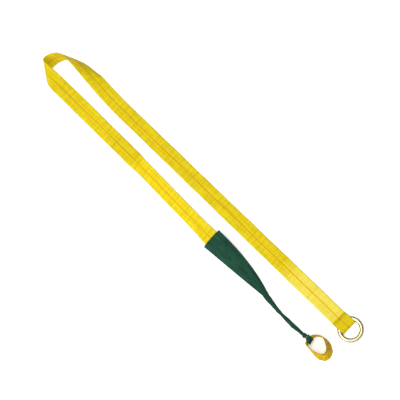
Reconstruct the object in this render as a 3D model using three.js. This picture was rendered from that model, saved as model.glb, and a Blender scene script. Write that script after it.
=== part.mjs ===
// Webbing lifting strop: a round steel ring sewn into one end of a flat strap, and a tapered
// fabric pull-through sleeve with a leader, a knot and a hand loop on the other end.
// It lies on a flat surface, folded in half, so its two legs run side by side along Y.
// Units are millimetres, +Z is up, and the surface that it lies on is z = 0.
import * as THREE from 'three';

// ---- driving dimensions ----
const WEB_WIDTH = 50;
const WEB_THICK = 2.5;
const PLY_GAP = 0.3; // clearance between pieces that touch on the real strop
const FLEX_GAP = 1.4; // clearance where a single ply flexes
const ROLLED_FLEX_GAP = 2; // clearance where the slightly rolled short leg flexes
const PAIR_FLEX_GAP = 4.4; // clearance where two sewn plies flex together

const RING_WIRE = 12;
const RING_INSIDE = 52;
const RING_CENTRE_Y = -3.7; // measured from the fold line of the eye, which is y = 0
const EYE_FLEX_Y = 47;
const SPLICE_FLEX_Y = 263;
const TAIL_END_Y = 255;
const RAMP_LENGTH = 24; // the strap steps down from the doubled plies over this length

const LEG_SPACING = 83;
const BEND_LENGTH = 745.5;
const SHORT_LEG_START_Y = 855.2;
const SPLAY_START_Y = 915.3;
const LEG_SPLAY = 0.025; // sideways drift of the short leg per millimetre of length
const SPLAY_EASE = 100;
const START_ROLL = 1.15; // degrees, about the outer selvedge, where the short leg leaves the bend
const LEG_ROLL = 29;
const MOUTH_ROLL = 16;
const MOUTH_Y = 473;
const TAB_LENGTH = 70; // strap inside the sleeve

const SLEEVE_LENGTH = 228;
const SLEEVE_MOUTH_WIDTH = 69;
const SLEEVE_MOUTH_HEIGHT = 14;
const SLEEVE_FABRIC = 1.4;
const LEADER_WIDTH = 12;
const LEADER_HEIGHT = 9;
const LEADER_JOIN_Y = 150;
const COLLAR_Y = 76;
const KNOT_Y = 60;
const KNOT_X = -104;
const KNOT_RADIUS = 10;
const KNOT_HOLE = 6;
const KNOT_LENGTH = 18;
const THREAD = 0.8;
const THREAD_SWING = 0.6; // how far a zigzag stitch steps to each side of its row

const ORIGIN_X = -44.6; // middle of the strop's box, moved to the origin
const ORIGIN_Y = 599.6;

// ---- helpers ----
const vec = (x, y, z) => new THREE.Vector3(x, y, z);
const mix = THREE.MathUtils.lerp;
// 0 at from and 1 at to, smooth between, in either direction.
const ease = (from, to, value) => {
  const t = THREE.MathUtils.clamp((value - from) / (to - from), 0, 1);
  return t * t * (3 - 2 * t);
};
const bump = (value) => Math.exp(-value * value);
const radians = THREE.MathUtils.degToRad;
const steps = (count) => Array.from({ length: count + 1 }, (_, i) => i / count);

// One closed body through a list of rings of points, capped at both ends or joined end to start.
function loft(rings, joined = false) {
  const side = rings[0].length;
  const points = rings.flat();
  const faces = [];
  const spans = joined ? rings.length : rings.length - 1;
  for (let i = 0; i < spans; i++) {
    const next = (i + 1) % rings.length;
    for (let j = 0; j < side; j++) {
      const k = (j + 1) % side;
      faces.push([i * side + j, i * side + k, next * side + k]);
      faces.push([i * side + j, next * side + k, next * side + j]);
    }
  }
  if (!joined) {
    [[0, -1], [rings.length - 1, 1]].forEach(([ring, turn]) => {
      const middle = rings[ring].reduce((sum, p) => sum.add(p), vec(0, 0, 0)).divideScalar(side);
      const hub = points.push(middle) - 1;
      for (let j = 0; j < side; j++) {
        const a = ring * side + j;
        const b = ring * side + ((j + 1) % side);
        faces.push(turn > 0 ? [hub, a, b] : [hub, b, a]);
      }
    });
  }
  let volume = 0;
  faces.forEach(([a, b, c]) => {
    volume += points[a].dot(points[b].clone().cross(points[c]));
  });
  if (volume < 0) {
    faces.forEach((face) => face.reverse());
  }
  const geometry = new THREE.BufferGeometry();
  const coordinates = points.flatMap((p) => p.toArray());
  geometry.setAttribute('position', new THREE.Float32BufferAttribute(coordinates, 3));
  geometry.setIndex(faces.flat());
  geometry.computeVertexNormals();
  return geometry;
}

// A flat section with softened edges, spanned by the unit vectors across and normal.
function strapSection({ p, across, normal }, halfWidth, halfThick) {
  const soft = Math.min(0.8, halfThick * 0.6);
  const corners = [
    [halfWidth, halfThick - soft], [halfWidth - soft, halfThick],
    [soft - halfWidth, halfThick], [-halfWidth, halfThick - soft],
    [-halfWidth, soft - halfThick], [soft - halfWidth, -halfThick],
    [halfWidth - soft, -halfThick], [halfWidth, soft - halfThick],
  ];
  return corners.map(([u, v]) => p.clone().addScaledVector(across, u).addScaledVector(normal, v));
}

// Thickness near a rounded end: a half circle of the ply's own thickness.
function endTaper(distance, halfThick) {
  const inside = Math.min(distance, halfThick);
  return Math.max(0.3, Math.sqrt(1 - (1 - inside / halfThick) ** 2));
}

// A length of webbing through stations, each with a place, a width direction and a normal.
function webbing(stations, roundStart = false, roundEnd = false) {
  const half = WEB_THICK / 2;
  let run = 0;
  const along = stations.map((station, i) => {
    run += i ? station.p.distanceTo(stations[i - 1].p) : 0;
    return run;
  });
  return loft(stations.map((station, i) => {
    const atStart = roundStart ? endTaper(along[i], half) : 1;
    const atEnd = roundEnd ? endTaper(run - along[i], half) : 1;
    return strapSection(station, WEB_WIDTH / 2, half * Math.min(atStart, atEnd));
  }));
}

// Stations along a line in the YZ plane, for a ply that isn't twisted.
function plainStations(curve, count) {
  return steps(count).map((t) => {
    const across = vec(1, 0, 0);
    return { p: curve.getPointAt(t), across, normal: across.clone().cross(curve.getTangentAt(t)) };
  });
}

// Extra stations close to the ends, where a rounded end needs them.
function straightRun(fromY, toY, zAt, middle) {
  const turn = Math.sign(toY - fromY);
  const nose = [0, 0.25, 0.75, WEB_THICK / 2];
  const ys = [
    ...nose.map((d) => fromY + turn * d),
    ...steps(middle).slice(1, -1).map((t) => mix(fromY + turn * 2, toY - turn * 2, t)),
    ...nose.map((d) => toY - turn * d).reverse(),
  ];
  return ys.map((y) => ({ p: vec(0, y, zAt(y)), across: vec(1, 0, 0), normal: vec(0, 0, 1) }));
}

// ---- the strap's places ----
const lowerZ = WEB_THICK / 2;
const upperZ = WEB_THICK * 1.5 + PLY_GAP;
const RAMP_START_Y = SPLICE_FLEX_Y + 4;
const longLegZ = (y) => mix(upperZ, lowerZ, ease(RAMP_START_Y, RAMP_START_Y + RAMP_LENGTH, y));

// The folded end: a straight-woven strap that turns back beside itself. It bends and twists
// without stretching, so its straight lines lie at a slant across it where it does both.
// Each term is [size per mm, place from the bend's middle, spread].
const BEND_MIDDLE = 368.4;
const BEND_CURVATURE = [[0.023735, 36.4, 94.8], [-0.006461, -260, 31], [-0.005786, 260, 25]];
const BEND_TWIST = [[0.03002, -18, 43.3], [-0.013153, 101.2, 127.2], [-0.002761, -181.3, 25]];
const NEARLY_STRAIGHT = 0.0035; // curvature under which the slant dies away
const FLOOR_CLEARANCE = 0.05;

// A flat strap rolled about its outer selvedge, which stays down.
function rolledAbout(x, y, roll) {
  return {
    p: vec(x, y, (WEB_WIDTH / 2) * Math.sin(roll) + lowerZ * Math.cos(roll)),
    across: vec(Math.cos(roll), 0, Math.sin(roll)),
    normal: vec(-Math.sin(roll), 0, Math.cos(roll)),
  };
}

function bendStations(count) {
  const sum = (terms, s) => terms.reduce((t, [size, at, spread]) => t + size * bump((s - at) / spread), 0);
  const { p, normal } = rolledAbout(shortLegX(SHORT_LEG_START_Y), SHORT_LEG_START_Y, radians(START_ROLL));
  const tangent = vec(0, 1, 0);
  const substeps = 6;
  const ds = BEND_LENGTH / count / substeps;
  const stations = [];
  for (let i = 0; i <= count * substeps; i++) {
    const across = tangent.clone().cross(normal);
    const s = (i + 0.5) * ds - BEND_MIDDLE;
    const curvature = sum(BEND_CURVATURE, s);
    const twist = sum(BEND_TWIST, s);
    if (i % substeps === 0) {
      const slant = (twist * Math.max(0, curvature)) / (curvature ** 2 + NEARLY_STRAIGHT ** 2);
      const ruling = across.clone().addScaledVector(tangent, slant);
      stations.push({ p: p.clone(), across: ruling, normal: normal.clone() });
    }
    const turn = across.multiplyScalar(-curvature).addScaledVector(tangent, -twist);
    const angle = turn.length() * ds;
    const axis = turn.normalize();
    p.addScaledVector(tangent.clone().applyAxisAngle(axis, angle / 2), ds);
    tangent.applyAxisAngle(axis, angle);
    normal.applyAxisAngle(axis, angle);
  }
  const miss = vec(0, p.y, lowerZ).sub(p);
  stations.forEach(({ p: place, across: ruling, normal: up }, i) => {
    place.addScaledVector(miss, i / count);
    const straightened = ease(count * 0.8, count, i);
    place.x *= 1 - straightened;
    ruling.lerp(vec(-1, 0, 0), straightened);
    const edge = place.z - (WEB_WIDTH / 2) * Math.abs(ruling.z) - lowerZ * Math.abs(up.z);
    place.z += Math.max(0, FLOOR_CLEARANCE - edge);
  });
  return stations;
}

const bend = bendStations(72);
const LONG_LEG_END_Y = bend[bend.length - 1].p.y;

// The short leg, sleeve and leader share one centre line that drifts slowly outwards.
function shortLegX(y) {
  const d = Math.max(0, SPLAY_START_Y - y);
  const drift = d < SPLAY_EASE ? (d * d) / (2 * SPLAY_EASE) : d - SPLAY_EASE / 2;
  return -LEG_SPACING - LEG_SPLAY * drift;
}

// Where the middle of the flattened sleeve lies, and how far it rolls about its length.
function sleeveMiddle(y) {
  const t = THREE.MathUtils.clamp((MOUTH_Y - y) / SLEEVE_LENGTH, 0, 1);
  const width = mix(SLEEVE_MOUTH_WIDTH, LEADER_WIDTH, t ** 2.1) - 6 * Math.sin(Math.PI * t);
  const height = mix(SLEEVE_MOUTH_HEIGHT, LEADER_HEIGHT, ease(0, 1, t));
  const roll = radians(MOUTH_ROLL * (1 - ease(0, 0.85, t)));
  const lift = (width / 2 - height / 4) * Math.sin(roll) + (height / 2) * Math.cos(roll);
  // The fold side runs straight to the neck, and the sewn side bellies out before it comes in.
  const foldSide = mix(-SLEEVE_MOUTH_WIDTH / 2, -LEADER_WIDTH / 2, t);
  return { p: vec(shortLegX(y) + foldSide + width / 2, y, lift), width, height, roll };
}

// The leg rolls about its outer selvedge, which stays down, and centres itself in the sleeve.
function shortLegStation(y) {
  const inSleeve = ease(MOUTH_Y + 75, MOUTH_Y + 4, y);
  const middle = sleeveMiddle(y);
  const rolledIn = ease(SHORT_LEG_START_Y - 8, SHORT_LEG_START_Y - 80, y);
  const free = radians(mix(START_ROLL, LEG_ROLL, rolledIn));
  const station = rolledAbout(shortLegX(y), y, mix(free, middle.roll, inSleeve));
  station.p.lerp(middle.p, inSleeve);
  return station;
}

function shortLegStations() {
  const from = SHORT_LEG_START_Y - ROLLED_FLEX_GAP;
  const to = MOUTH_Y - TAB_LENGTH;
  const nose = [0, 0.25, 0.75, WEB_THICK / 2];
  const ys = [...nose.map((d) => from - d), ...steps(52).slice(1).map((t) => mix(from - 2, to, t))];
  return ys.map(shortLegStation);
}

// ---- webbing nodes ----
const longLeg = () => webbing(
  straightRun(SPLICE_FLEX_Y + FLEX_GAP / 2, LONG_LEG_END_Y - PLY_GAP, longLegZ, 30), true, false);
const bendWebbing = () => webbing(bend, false, false);
const spliceUpper = () => webbing(
  straightRun(EYE_FLEX_Y + PAIR_FLEX_GAP / 2, SPLICE_FLEX_Y - FLEX_GAP / 2, () => upperZ, 4), false, true);
const spliceLower = () => webbing(
  straightRun(EYE_FLEX_Y + PAIR_FLEX_GAP / 2, TAIL_END_Y, () => lowerZ, 4), false, true);

// The eye: the upper ply humps over the ring's wire, turns under at y = 0 and comes back flat.
const EYE_LINE = [
  [44.8, upperZ], [42, 4.5], [39.2, 7.2], [37.4, 11.4], [34, 15.9], [28, 17.5], [19, 17.5],
  [11.5, 16.0], [5.4, 12.4], [2.2, 7.6], [1.4, 4.0], [2.8, 1.85], [7, lowerZ], [20, lowerZ], [44.8, lowerZ],
];
const eyeWebbing = () => webbing(plainStations(
  new THREE.CatmullRomCurve3(EYE_LINE.map(([y, z]) => vec(0, y, z)), false, 'centripetal'), 54));

// ---- ring ----
function ring() {
  const radius = (RING_INSIDE + RING_WIRE) / 2;
  const nearZ = WEB_THICK + 3 * PLY_GAP + RING_WIRE / 2;
  const farZ = RING_WIRE / 2;
  const tilt = Math.asin((nearZ - farZ) / (2 * radius));
  const rings = steps(44).slice(0, -1).map((t) => {
    const turn = t * 2 * Math.PI;
    const out = vec(Math.cos(turn), Math.sin(turn), 0);
    return steps(12).slice(0, -1).map((u) => {
      const wire = u * 2 * Math.PI;
      const point = out.clone().multiplyScalar(radius + (RING_WIRE / 2) * Math.cos(wire));
      point.z = (RING_WIRE / 2) * Math.sin(wire);
      return point;
    });
  });
  const geometry = loft(rings, true);
  geometry.rotateX(tilt);
  geometry.translate(0, RING_CENTRE_Y, (nearZ + farZ) / 2);
  return geometry;
}

// ---- stitching: one square zigzag thread for each sewn row ----
// Each stitch lies on a point, with unit vectors along the row's side and out of the surface.
function thread(stitches) {
  return loft(stitches.map(({ p, side, out }, i) => {
    const middle = p.clone().addScaledVector(side, THREAD_SWING * (i % 2 ? 1 : -1));
    const square = [[1, 1], [1, -1], [-1, -1], [-1, 1]];
    return square.map(([u, v]) => middle.clone()
      .addScaledVector(side, (u * THREAD) / 2).addScaledVector(out, (v * THREAD) / 2));
  }));
}

function flatRow(from, to, pitch) {
  const out = vec(0, 0, 1);
  const side = out.clone().cross(to.clone().sub(from).normalize());
  const count = Math.round(from.distanceTo(to) / pitch) * 2;
  return thread(steps(count).map((t) => ({ p: from.clone().lerp(to, t), side, out })));
}

const seamZ = upperZ + WEB_THICK / 2 + PLY_GAP + THREAD / 2;
const crossRow = (y) => flatRow(vec(-17, y, seamZ), vec(17, y, seamZ), 4);
const sideRow = (x) => flatRow(vec(x, 58, seamZ), vec(x, 246, seamZ), 8);

// ---- sleeve, leader and knot ----
function sleeveRing(y, inset) {
  const { p, width, height, roll } = sleeveMiddle(y);
  const side = vec(Math.cos(roll), 0, Math.sin(roll));
  const up = vec(-Math.sin(roll), 0, Math.cos(roll));
  const rounded = (value, power) => Math.sign(value) * Math.abs(value) ** power;
  return steps(24).slice(0, -1).map((u) => {
    const turn = u * 2 * Math.PI;
    return p.clone()
      .addScaledVector(side, (width / 2 - inset) * rounded(Math.cos(turn), 0.62))
      .addScaledVector(up, (height / 2 - inset) * rounded(Math.sin(turn), 0.9));
  });
}

function sleeve() {
  const neckY = MOUTH_Y - SLEEVE_LENGTH;
  const outer = steps(22).map((t) => mix(neckY + 1, MOUTH_Y, t));
  const inner = steps(18).map((t) => mix(MOUTH_Y, neckY + 40, t));
  return loft([
    sleeveRing(neckY + 1, 2.2),
    ...outer.slice(1).map((y) => sleeveRing(y, 0)),
    ...inner.map((y) => sleeveRing(y, SLEEVE_FABRIC)),
  ]);
}

// The seam that closes the sleeve, a little way in from its sewn side.
function sleeveSeam() {
  const clear = PLY_GAP + THREAD;
  const seamPoint = 3; // of the ring's 24, so an eighth of a turn up from the side
  return thread(steps(44).map((t) => {
    const y = mix(MOUTH_Y - 5, MOUTH_Y - SLEEVE_LENGTH + 34, t);
    const { roll } = sleeveMiddle(y);
    return {
      p: sleeveRing(y, -clear)[seamPoint],
      side: vec(Math.cos(roll), 0, Math.sin(roll)),
      out: vec(-Math.sin(roll), 0, Math.cos(roll)),
    };
  }));
}

function leaderX(y) {
  const t = (MOUTH_Y - SLEEVE_LENGTH - y) / (MOUTH_Y - SLEEVE_LENGTH - KNOT_Y);
  return mix(shortLegX(y), KNOT_X, t ** 3) - 7 * Math.sin(Math.PI * Math.min(t, 1) ** 0.8);
}

function tube(fromY, toY, xAt, zAt, halfWidth, halfHeight, count, nose) {
  const turnY = Math.sign(toY - fromY);
  const ends = [0, 0.15, 0.5, 1].map((d) => d * nose);
  const ys = [
    ...ends.map((d) => fromY + turnY * d),
    ...steps(count).slice(1, -1).map((t) => mix(fromY + turnY * nose, toY - turnY * nose, t)),
    ...ends.map((d) => toY - turnY * d).reverse(),
  ];
  return loft(ys.map((y) => {
    const reach = Math.min(Math.abs(y - fromY), Math.abs(y - toY), nose) / nose;
    const scale = Math.max(0.25, Math.sqrt(1 - (1 - reach) ** 2));
    return steps(10).slice(0, -1).map((u) => {
      const turn = u * 2 * Math.PI;
      const x = xAt(y) + halfWidth(y) * scale * Math.cos(turn);
      const z = zAt(y) + halfHeight(y) * scale * Math.sin(turn);
      return vec(x, y, z);
    });
  }));
}

const leaderZ = (y) => mix(LEADER_HEIGHT / 2, KNOT_RADIUS + 0.1, ease(COLLAR_Y + 40, COLLAR_Y, y));
const leaderPiece = (fromY, toY) => tube(fromY, toY, leaderX, leaderZ,
  () => LEADER_WIDTH / 2, () => LEADER_HEIGHT / 2, 9, LEADER_HEIGHT / 2);
const leaderUpper = () => leaderPiece(MOUTH_Y - SLEEVE_LENGTH - 1.6, LEADER_JOIN_Y + 1.4);
const leaderLower = () => leaderPiece(LEADER_JOIN_Y - 1.4, COLLAR_Y + 5.5);
const knotCollar = () => tube(COLLAR_Y + 5.2, KNOT_Y + KNOT_RADIUS + 0.3, leaderX, leaderZ,
  () => 7.6, () => 7.6, 4, 3);

// The knot: wraps of the leader's end round the gathered hand loop, with a hole along X.
function knot() {
  const outline = [
    [-1, KNOT_HOLE + 1], [-0.8, 9.2], [-0.35, KNOT_RADIUS], [0.35, KNOT_RADIUS], [0.8, 9.2],
    [1, KNOT_HOLE + 1], [0.9, KNOT_HOLE], [-0.9, KNOT_HOLE],
  ];
  return loft(steps(20).slice(0, -1).map((t) => {
    const turn = t * 2 * Math.PI;
    return outline.map(([x, r]) => vec(
      KNOT_X + (x * KNOT_LENGTH) / 2,
      KNOT_Y + r * Math.cos(turn),
      KNOT_RADIUS + 0.1 + r * Math.sin(turn),
    ));
  }), true);
}

// ---- hand loop: a band on its edge, gathered where it passes through the knot ----
const HAND_LOOP_LINE = [
  [0, 0], [10.5, -0.5], [22, -8], [31, -24], [30, -42], [20, -61], [1, -69], [-13, -60],
  [-18, -42], [-18.5, -22], [-16.5, -8], [-9.5, -0.5],
];
const handLoopCurve = new THREE.CatmullRomCurve3(
  HAND_LOOP_LINE.map(([x, y]) => vec(KNOT_X + x, KNOT_Y + y, 0)), true, 'centripetal');
const HAND_LOOP_LEAN = 7; // the far side's upper edge leans in by this much, and its lower edge out

// The band's middle, facing and size at t, with its own lean.
function handLoopFrame(t) {
  const p = handLoopCurve.getPointAt(t);
  const along = handLoopCurve.getTangentAt(t);
  const out = vec(along.y, -along.x, 0);
  if (out.dot(p.clone().sub(vec(KNOT_X + 5, KNOT_Y - 32, 0))) < 0) {
    out.negate();
  }
  const fromKnot = Math.min(t, 1 - t) * handLoopCurve.getLength();
  const open = ease(9, 36, fromKnot);
  const halfHeight = mix(4.6, WEB_WIDTH / 2, open);
  const halfThick = mix(3.9, WEB_THICK / 2, ease(8, 24, fromKnot));
  const middle = vec(p.x, p.y, mix(KNOT_RADIUS + 0.1, WEB_WIDTH / 2, open));
  const lean = (HAND_LOOP_LEAN * ease(30, 75, fromKnot)) / (WEB_WIDTH / 2);
  const at = (u, v) => middle.clone().addScaledVector(out, u - v * lean).add(vec(0, 0, v));
  return { at, out, halfHeight, halfThick };
}

function handLoopSection(t, outside = 0) {
  const { at, halfHeight, halfThick } = handLoopFrame(t);
  const section = [
    [1, 0.55], [0.7, 1], [-0.7, 1], [-1, 0.55], [-1, -0.55], [-0.7, -1], [0.7, -1], [1, -0.55],
  ];
  return section.map(([u, v]) => at(outside + u * halfThick, v * halfHeight));
}

const LAP_START = 0.43;
const LAP_END = 0.6;
const LAP_OUT = WEB_THICK + PLY_GAP;
const handLoop = () => loft(steps(64).slice(0, -1).map((t) => handLoopSection(t)), true);
const handLoopLap = () => loft(steps(12).map(
  (t) => handLoopSection(mix(LAP_START, LAP_END, t), LAP_OUT)));

// A sewn row up the overlapped ends of the band.
function lapRow(t) {
  const { at, out } = handLoopFrame(t);
  const clear = LAP_OUT + WEB_THICK / 2 + PLY_GAP + THREAD;
  const side = vec(0, 0, 1).cross(out);
  return thread(steps(16).map((u) => ({ p: at(clear, mix(-19, 19, u)), side, out })));
}

// ---- the assembly ----
const YELLOW = { color: 0xe8d31e, roughness: 0.75, metalness: 0 };
const THREAD_GREY = { color: 0xc9bf9a, roughness: 0.8, metalness: 0 };
const GREEN = { color: 0x21553e, roughness: 0.8, metalness: 0 };
const GOLD = { color: 0xd9c98a, roughness: 0.25, metalness: 1 };

const pieces = [
  ['long_leg_webbing', longLeg, YELLOW],
  ['bend_webbing', bendWebbing, YELLOW],
  ['short_leg_webbing', () => webbing(shortLegStations(), true, false), YELLOW],
  ['splice_upper_ply', spliceUpper, YELLOW],
  ['splice_tail_ply', spliceLower, YELLOW],
  ['eye_webbing', eyeWebbing, YELLOW],
  ['ring', ring, GOLD],
  ['splice_row_near_eye', () => crossRow(53), THREAD_GREY],
  ['splice_row_middle', () => crossRow(112), THREAD_GREY],
  ['splice_row_end', () => crossRow(249), THREAD_GREY],
  ['splice_side_row_left', () => sideRow(-19), THREAD_GREY],
  ['splice_side_row_right', () => sideRow(19), THREAD_GREY],
  ['sleeve', sleeve, GREEN],
  ['sleeve_seam_row', sleeveSeam, GREEN],
  ['leader_upper', leaderUpper, GREEN],
  ['leader_lower', leaderLower, GREEN],
  ['knot_collar', knotCollar, GREEN],
  ['knot', knot, GREEN],
  ['hand_loop_webbing', handLoop, YELLOW],
  ['hand_loop_lap', handLoopLap, YELLOW],
  ['hand_loop_row_left', () => lapRow(LAP_END - 0.02), THREAD_GREY],
  ['hand_loop_row_right', () => lapRow(LAP_START + 0.02), THREAD_GREY],
];

const strop = new THREE.Group();
strop.position.set(-ORIGIN_X, -ORIGIN_Y, 0);
pieces.forEach(([name, make, look]) => {
  const mesh = new THREE.Mesh(make(), new THREE.MeshStandardMaterial(look));
  mesh.name = name;
  strop.add(mesh);
});

export default strop;
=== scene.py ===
# Blender scene of a webbing lifting strop, which lies folded in half on a pale floor.
# A round ring is sewn into one end of the strap. The other end runs into a green cloth sleeve,
# whose rolled tip is the leader, tied round a small hand loop.
# Shapes are worked out in the part's own millimetres: x = 0 is the middle of the ring's leg,
# y = 0 is the fold of the eye, z = 0 is the floor. place() puts them in the row frame, in metres.
import math

import bmesh
import bpy
import numpy as np
from mathutils import Matrix, Quaternion, Vector


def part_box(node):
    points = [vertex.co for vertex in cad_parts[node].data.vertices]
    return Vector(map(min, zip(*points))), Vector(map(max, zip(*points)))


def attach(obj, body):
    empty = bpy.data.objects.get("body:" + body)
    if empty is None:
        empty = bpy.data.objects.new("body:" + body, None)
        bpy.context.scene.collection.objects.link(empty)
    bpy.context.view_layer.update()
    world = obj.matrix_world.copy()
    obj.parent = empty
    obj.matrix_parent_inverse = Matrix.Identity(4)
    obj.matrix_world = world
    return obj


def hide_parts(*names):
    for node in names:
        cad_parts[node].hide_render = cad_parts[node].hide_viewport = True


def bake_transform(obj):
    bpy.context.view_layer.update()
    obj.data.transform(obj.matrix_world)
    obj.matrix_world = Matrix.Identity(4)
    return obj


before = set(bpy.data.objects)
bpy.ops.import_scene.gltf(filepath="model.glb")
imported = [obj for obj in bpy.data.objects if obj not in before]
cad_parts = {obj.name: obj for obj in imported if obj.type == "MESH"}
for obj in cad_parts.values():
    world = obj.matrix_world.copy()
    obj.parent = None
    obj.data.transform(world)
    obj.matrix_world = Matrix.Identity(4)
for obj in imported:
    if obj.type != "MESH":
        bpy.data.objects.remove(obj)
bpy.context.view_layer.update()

MM = 0.001
RING_LOW, RING_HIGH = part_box("ring")
RING_CENTRE_Y = -3.7  # from the fold of the eye
ORIGIN = np.array([
    (RING_LOW.x + RING_HIGH.x) / 2 / MM,
    (RING_LOW.y + RING_HIGH.y) / 2 / MM - RING_CENTRE_Y,
    0,
])

# ---- the strop's sizes, in millimetres, as in the part ----
WEB_WIDTH = 50
WEB_THICK = 2.5
PLY_GAP = 0.3
LOWER_Z = WEB_THICK / 2
UPPER_Z = WEB_THICK * 1.5 + PLY_GAP
RAMP_HIGH_Y = 267
RAMP_LOW_Y = 291
TAIL_END_Y = 255

RING_WIRE = 12
RING_INSIDE = 52

LEG_SPACING = 83
BEND_LENGTH = 745.5
SHORT_LEG_START_Y = 855.2
SPLAY_START_Y = 915.3
LEG_SPLAY = 0.025
SPLAY_EASE = 100
START_ROLL = 1.15  # degrees, where the short leg leaves the bend
LEG_ROLL = 29
MOUTH_ROLL = 16
MOUTH_Y = 473
TAB_LENGTH = 70

SLEEVE_LENGTH = 228
SLEEVE_MOUTH_WIDTH = 69
SLEEVE_MOUTH_HEIGHT = 14
SLEEVE_CLOTH = 1.4
NECK_Y = MOUTH_Y - SLEEVE_LENGTH
LEADER_WIDTH = 12
NECK_WIDTH = 18  # the rolled cloth spreads where it leaves the sleeve
LEADER_HEIGHT = 9
COLLAR_Y = 76
KNOT_X = -104
KNOT_Y = 60
KNOT_Z = 10.1
HAND_LOOP_LEAN = 7

RIB_PITCH = 3.0  # crosswise ribs of the webbing
RIB_HEIGHT = 0.11
STATION = 1.5  # along the strap, half a rib
CUT_IN_BEND = 40  # where the strap's two long pieces meet, from the bend's start
CUT_IN_SPLICE_Y = 150


# ---- helpers ----
def mix(a, b, t):
    return a + (b - a) * t


def ease(start, end, value):
    """0 at start and 1 at end, smooth between, in either direction."""
    t = np.clip((value - start) / (end - start), 0, 1)
    return t * t * (3 - 2 * t)


def bump(value):
    return np.exp(-np.square(value))


def unit(vectors):
    return vectors / np.linalg.norm(vectors, axis=-1, keepdims=True)


def place(points):
    """Points of the strop in millimetres, put in the row frame in metres."""
    return (np.asarray(points, float) + ORIGIN) * MM


def run_of(points):
    """The length run along a line at each of its points."""
    return np.concatenate([[0], np.cumsum(np.linalg.norm(np.diff(points, axis=0), axis=1))])


def through(points, per_span, closed=False):
    """A centripetal Catmull-Rom line through points, as the part has it."""
    points = np.asarray(points, float)
    count = len(points)
    if not closed:
        before, after = 2 * points[0] - points[1], 2 * points[-1] - points[-2]
        points = np.vstack([before, points, after])
    line = []
    for i in range(count if closed else count - 1):
        p0, p1, p2, p3 = (points[(i + k - (1 if closed else 0)) % len(points)] for k in range(4))
        d0, d1, d2 = (math.sqrt(np.linalg.norm(b - a)) for a, b in ((p0, p1), (p1, p2), (p2, p3)))
        t1 = ((p1 - p0) / d0 - (p2 - p0) / (d0 + d1) + (p2 - p1) / d1) * d1
        t2 = ((p2 - p1) / d1 - (p3 - p1) / (d1 + d2) + (p3 - p2) / d2) * d1
        for t in np.arange(per_span) / per_span:
            square = 3 * (p2 - p1) - 2 * t1 - t2
            cube = 2 * (p1 - p2) + t1 + t2
            line.append(p1 + t1 * t + square * t**2 + cube * t**3)
    if not closed:
        line.append(points[-2])
    return np.array(line)


def piece(name, points, faces, material, uv=None, flat=()):
    """A smooth mesh object from points in millimetres. uv is a pair for each corner, in millimetres."""
    mesh = bpy.data.meshes.new(name)
    mesh.from_pydata(place(points).tolist(), [], faces)
    mesh.polygons.foreach_set("use_smooth", [i not in flat for i in range(len(faces))])
    if uv is not None:
        mesh.uv_layers.new(name="weave").data.foreach_set("uv", np.asarray(uv, np.float32).ravel())
    work = bmesh.new()
    work.from_mesh(mesh)
    if work.calc_volume(signed=True) < 0:
        bmesh.ops.reverse_faces(work, faces=work.faces[:])
        work.to_mesh(mesh)
    work.free()
    mesh.materials.append(material)
    obj = bpy.data.objects.new(name, mesh)
    bpy.context.scene.collection.objects.link(obj)
    return obj


def loft(name, rings, material, uv=None, joined=False):
    """A closed body through rings of points.

    uv has one more column than rings, and one more row if joined.
    """
    rows, side = rings.shape[:2]
    faces, corners = [], []
    for i in range(rows if joined else rows - 1):
        following = (i + 1) % rows
        for j in range(side):
            k = (j + 1) % side
            faces.append([i * side + j, i * side + k, following * side + k, following * side + j])
            if uv is not None:
                corners += [uv[i, j], uv[i, j + 1], uv[i + 1, j + 1], uv[i + 1, j]]
    flat = set()
    if not joined:
        for row in (0, rows - 1):
            flat.add(len(faces))
            ring = list(range(row * side, (row + 1) * side))
            faces.append(ring[::-1] if row == 0 else ring)
            if uv is not None:
                corners += [uv[row, j] for j in (range(side - 1, -1, -1) if row == 0 else range(side))]
    return piece(name, rings.reshape(-1, 3), faces, material, corners if uv is not None else None, flat)


# ---- the camera ----
AZIMUTH = math.radians(-11.87)
ELEVATION = math.radians(76.14)
ROLL = math.radians(-33.69)
DISTANCE = 3.6047
TARGET = Vector(place((-33.56, 583.48, 0)))
LENS = 108.35


def make_camera():
    away = Vector((
        math.sin(AZIMUTH) * math.cos(ELEVATION),
        -math.cos(AZIMUTH) * math.cos(ELEVATION),
        math.sin(ELEVATION),
    ))
    level = (-away).cross(Vector((0, 0, 1))).normalized()
    upright = level.cross(-away)
    right = level * math.cos(ROLL) + upright * math.sin(ROLL)
    top = upright * math.cos(ROLL) - level * math.sin(ROLL)
    camera = bpy.data.objects.new("camera", bpy.data.cameras.new("camera"))
    camera.data.sensor_width = 36
    camera.data.lens = LENS
    camera.data.clip_end = 50
    turn = Matrix((right, top, away)).transposed().to_4x4()
    camera.matrix_world = Matrix.Translation(TARGET + away * DISTANCE) @ turn
    bpy.context.scene.collection.objects.link(camera)
    bpy.context.scene.camera = camera


make_camera()


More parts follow.
